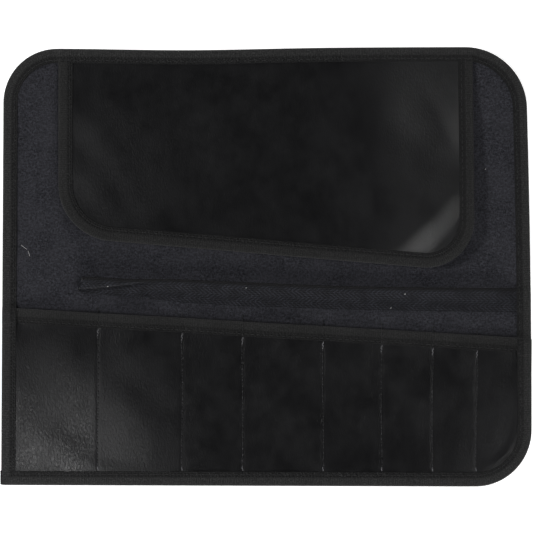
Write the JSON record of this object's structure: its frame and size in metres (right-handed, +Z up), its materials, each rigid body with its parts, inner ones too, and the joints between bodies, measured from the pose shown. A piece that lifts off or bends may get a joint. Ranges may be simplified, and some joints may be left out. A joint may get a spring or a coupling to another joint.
{
  "type": "brush roll case",
  "caption": "Roll-up case for brushes and slim tools: stitched pockets on a soft lining, a flap over the tips and a tie tape.",
  "frame": {"origin": "bottom centre of the case lying open and flat on its back", "axes": "+X across the case from its free left end to its right edge, +Y from the pockets towards the flap, +Z up out of the lining"},
  "size_m": [0.3798, 0.315, 0.0093],
  "materials": {
    "leather": "fine pebbled grain, satin",
    "lining": "brushed felt, matt",
    "binding_tape": "woven tape, matt",
    "twill_tie": "herringbone twill tape, matt"
  },
  "bodies": {
    "column_8": {"cover_8": "leather", "lining_8": "lining", "pocket_8": "leather", "binding_right": "binding_tape"},
    "column_7": {"cover_7": "leather", "lining_7": "lining", "pocket_7": "leather", "top_binding_7": "binding_tape", "bottom_binding_7": "binding_tape"},
    "column_6": {"cover_6": "leather", "lining_6": "lining", "pocket_6": "leather", "top_binding_6": "binding_tape", "bottom_binding_6": "binding_tape"},
    "column_5": {"cover_5": "leather", "lining_5": "lining", "pocket_5": "leather", "top_binding_5": "binding_tape", "bottom_binding_5": "binding_tape"},
    "column_4": {"cover_4": "leather", "lining_4": "lining", "pocket_4": "leather", "top_binding_4": "binding_tape", "bottom_binding_4": "binding_tape"},
    "column_3": {"cover_3": "leather", "lining_3": "lining", "pocket_3": "leather", "top_binding_3": "binding_tape", "bottom_binding_3": "binding_tape"},
    "column_2": {"cover_2": "leather", "lining_2": "lining", "pocket_2": "leather", "top_binding_2": "binding_tape", "bottom_binding_2": "binding_tape"},
    "column_1": {"cover_1": "leather", "lining_1": "lining", "pocket_1": "leather", "binding_left": "binding_tape", "bottom_binding_1": "binding_tape"},
    "flap_panel_1": {"flap_1": "leather"},
    "flap_panel_2": {"flap_2": "leather"},
    "flap_panel_3": {"flap_3": "leather"},
    "flap_panel_4": {"flap_4": "leather"},
    "flap_panel_5": {"flap_5": "leather"},
    "flap_panel_6": {"flap_6": "leather"},
    "flap_panel_7": {"flap_7": "leather"},
    "tie_length_8": {"tie_8": "twill_tie"},
    "tie_length_7": {"tie_7": "twill_tie"},
    "tie_length_6": {"tie_6": "twill_tie"},
    "tie_length_5": {"tie_5": "twill_tie"},
    "tie_length_4": {"tie_4": "twill_tie"},
    "tie_length_3": {"tie_3": "twill_tie"},
    "tie_length_2": {"tie_2": "twill_tie"},
    "tie_length_1": {"tie_1": "twill_tie"}
  },
  "joints": [
    {"name": "case_roll", "type": "hinge", "parent": "column_8", "child": "column_7", "pos_m": [0.1499, 0, 0.0062], "axis": [0, 1, 0], "range_deg": [0, 61]},
    {"name": "case_fold_6", "type": "hinge", "parent": "column_7", "child": "column_6", "pos_m": [0.1187, 0, 0.0062], "axis": [0, 1, 0], "range_deg": [0, 50.01]},
    {"name": "case_fold_5", "type": "hinge", "parent": "column_6", "child": "column_5", "pos_m": [0.0823, 0, 0.0062], "axis": [0, 1, 0], "range_deg": [0, 16.01]},
    {"name": "case_fold_4", "type": "hinge", "parent": "column_5", "child": "column_4", "pos_m": [0.0404, 0, 0.0062], "axis": [0, 1, 0], "range_deg": [0, 88.01]},
    {"name": "case_fold_3", "type": "hinge", "parent": "column_4", "child": "column_3", "pos_m": [-0.0172, 0, 0.0062], "axis": [0, 1, 0], "range_deg": [0, 71.01]},
    {"name": "case_fold_2", "type": "hinge", "parent": "column_3", "child": "column_2", "pos_m": [-0.0605, 0, 0.0062], "axis": [0, 1, 0], "range_deg": [0, 75.01]},
    {"name": "case_fold_1", "type": "hinge", "parent": "column_2", "child": "column_1", "pos_m": [-0.1206, 0, 0.0062], "axis": [0, 1, 0], "range_deg": [0, 125.01]},
    {"name": "flap_lift_1", "type": "hinge", "parent": "column_1", "child": "flap_panel_1", "pos_m": [-0.1347, 0.1457, 0.00535], "axis": [1, 0, 0], "range_deg": [-179.9, 0]},
    {"name": "flap_lift_2", "type": "hinge", "parent": "column_2", "child": "flap_panel_2", "pos_m": [-0.0905, 0.1457, 0.00535], "axis": [1, 0, 0], "range_deg": [-179.9, 0]},
    {"name": "flap_lift_3", "type": "hinge", "parent": "column_3", "child": "flap_panel_3", "pos_m": [-0.0388, 0.1457, 0.00535], "axis": [1, 0, 0], "range_deg": [-179.9, 0]},
    {"name": "flap_lift", "type": "hinge", "parent": "column_4", "child": "flap_panel_4", "pos_m": [0.0116, 0.1457, 0.00535], "axis": [1, 0, 0], "range_deg": [-179.9, 0]},
    {"name": "flap_lift_5", "type": "hinge", "parent": "column_5", "child": "flap_panel_5", "pos_m": [0.0614, 0.1457, 0.00535], "axis": [1, 0, 0], "range_deg": [-179.9, 0]},
    {"name": "flap_lift_6", "type": "hinge", "parent": "column_6", "child": "flap_panel_6", "pos_m": [0.1005, 0.1457, 0.00535], "axis": [1, 0, 0], "range_deg": [-179.9, 0]},
    {"name": "flap_lift_7", "type": "hinge", "parent": "column_7", "child": "flap_panel_7", "pos_m": [0.1331, 0.1457, 0.00535], "axis": [1, 0, 0], "range_deg": [-179.9, 0]},
    {"name": "tie_swing", "type": "hinge", "parent": "column_8", "child": "tie_length_8", "pos_m": [0.1778, -0.0238, 0.0052], "axis": [0, -1, 0], "range_deg": [-179.9, 0]},
    {"name": "tie_fold_7", "type": "hinge", "parent": "tie_length_8", "child": "tie_length_7", "pos_m": [0.1499, -0.0238, 0.0062], "axis": [0, 1, 0], "range_deg": [0, 61.01]},
    {"name": "tie_fold_6", "type": "hinge", "parent": "tie_length_7", "child": "tie_length_6", "pos_m": [0.1187, -0.0238, 0.0062], "axis": [0, 1, 0], "range_deg": [0, 50.01]},
    {"name": "tie_fold_5", "type": "hinge", "parent": "tie_length_6", "child": "tie_length_5", "pos_m": [0.0823, -0.0238, 0.0062], "axis": [0, 1, 0], "range_deg": [0, 16.01]},
    {"name": "tie_fold_4", "type": "hinge", "parent": "tie_length_5", "child": "tie_length_4", "pos_m": [0.0404, -0.0238, 0.0062], "axis": [0, 1, 0], "range_deg": [0, 88.01]},
    {"name": "tie_fold_3", "type": "hinge", "parent": "tie_length_4", "child": "tie_length_3", "pos_m": [-0.0172, -0.0238, 0.0062], "axis": [0, 1, 0], "range_deg": [0, 71.01]},
    {"name": "tie_fold_2", "type": "hinge", "parent": "tie_length_3", "child": "tie_length_2", "pos_m": [-0.0605, -0.0238, 0.0062], "axis": [0, 1, 0], "range_deg": [0, 75.01]},
    {"name": "tie_fold_1", "type": "hinge", "parent": "tie_length_2", "child": "tie_length_1", "pos_m": [-0.1206, -0.0238, 0.0062], "axis": [0, 1, 0], "range_deg": [0, 125.01]}
  ],
  "couplings": [
    {"joint": "case_fold_6", "follows": "case_roll", "ratio": 0.81967},
    {"joint": "case_fold_5", "follows": "case_roll", "ratio": 0.2623},
    {"joint": "case_fold_4", "follows": "case_roll", "ratio": 1.4426},
    {"joint": "case_fold_3", "follows": "case_roll", "ratio": 1.1639},
    {"joint": "case_fold_2", "follows": "case_roll", "ratio": 1.2295},
    {"joint": "case_fold_1", "follows": "case_roll", "ratio": 2.0492},
    {"joint": "flap_lift_1", "follows": "flap_lift", "ratio": 1},
    {"joint": "flap_lift_2", "follows": "flap_lift", "ratio": 1},
    {"joint": "flap_lift_3", "follows": "flap_lift", "ratio": 1},
    {"joint": "flap_lift_5", "follows": "flap_lift", "ratio": 1},
    {"joint": "flap_lift_6", "follows": "flap_lift", "ratio": 1},
    {"joint": "flap_lift_7", "follows": "flap_lift", "ratio": 1},
    {"joint": "tie_fold_7", "follows": "case_roll", "ratio": 1},
    {"joint": "tie_fold_6", "follows": "case_roll", "ratio": 0.81967},
    {"joint": "tie_fold_5", "follows": "case_roll", "ratio": 0.2623},
    {"joint": "tie_fold_4", "follows": "case_roll", "ratio": 1.4426},
    {"joint": "tie_fold_3", "follows": "case_roll", "ratio": 1.1639},
    {"joint": "tie_fold_2", "follows": "case_roll", "ratio": 1.2295},
    {"joint": "tie_fold_1", "follows": "case_roll", "ratio": 2.0492}
  ]
}
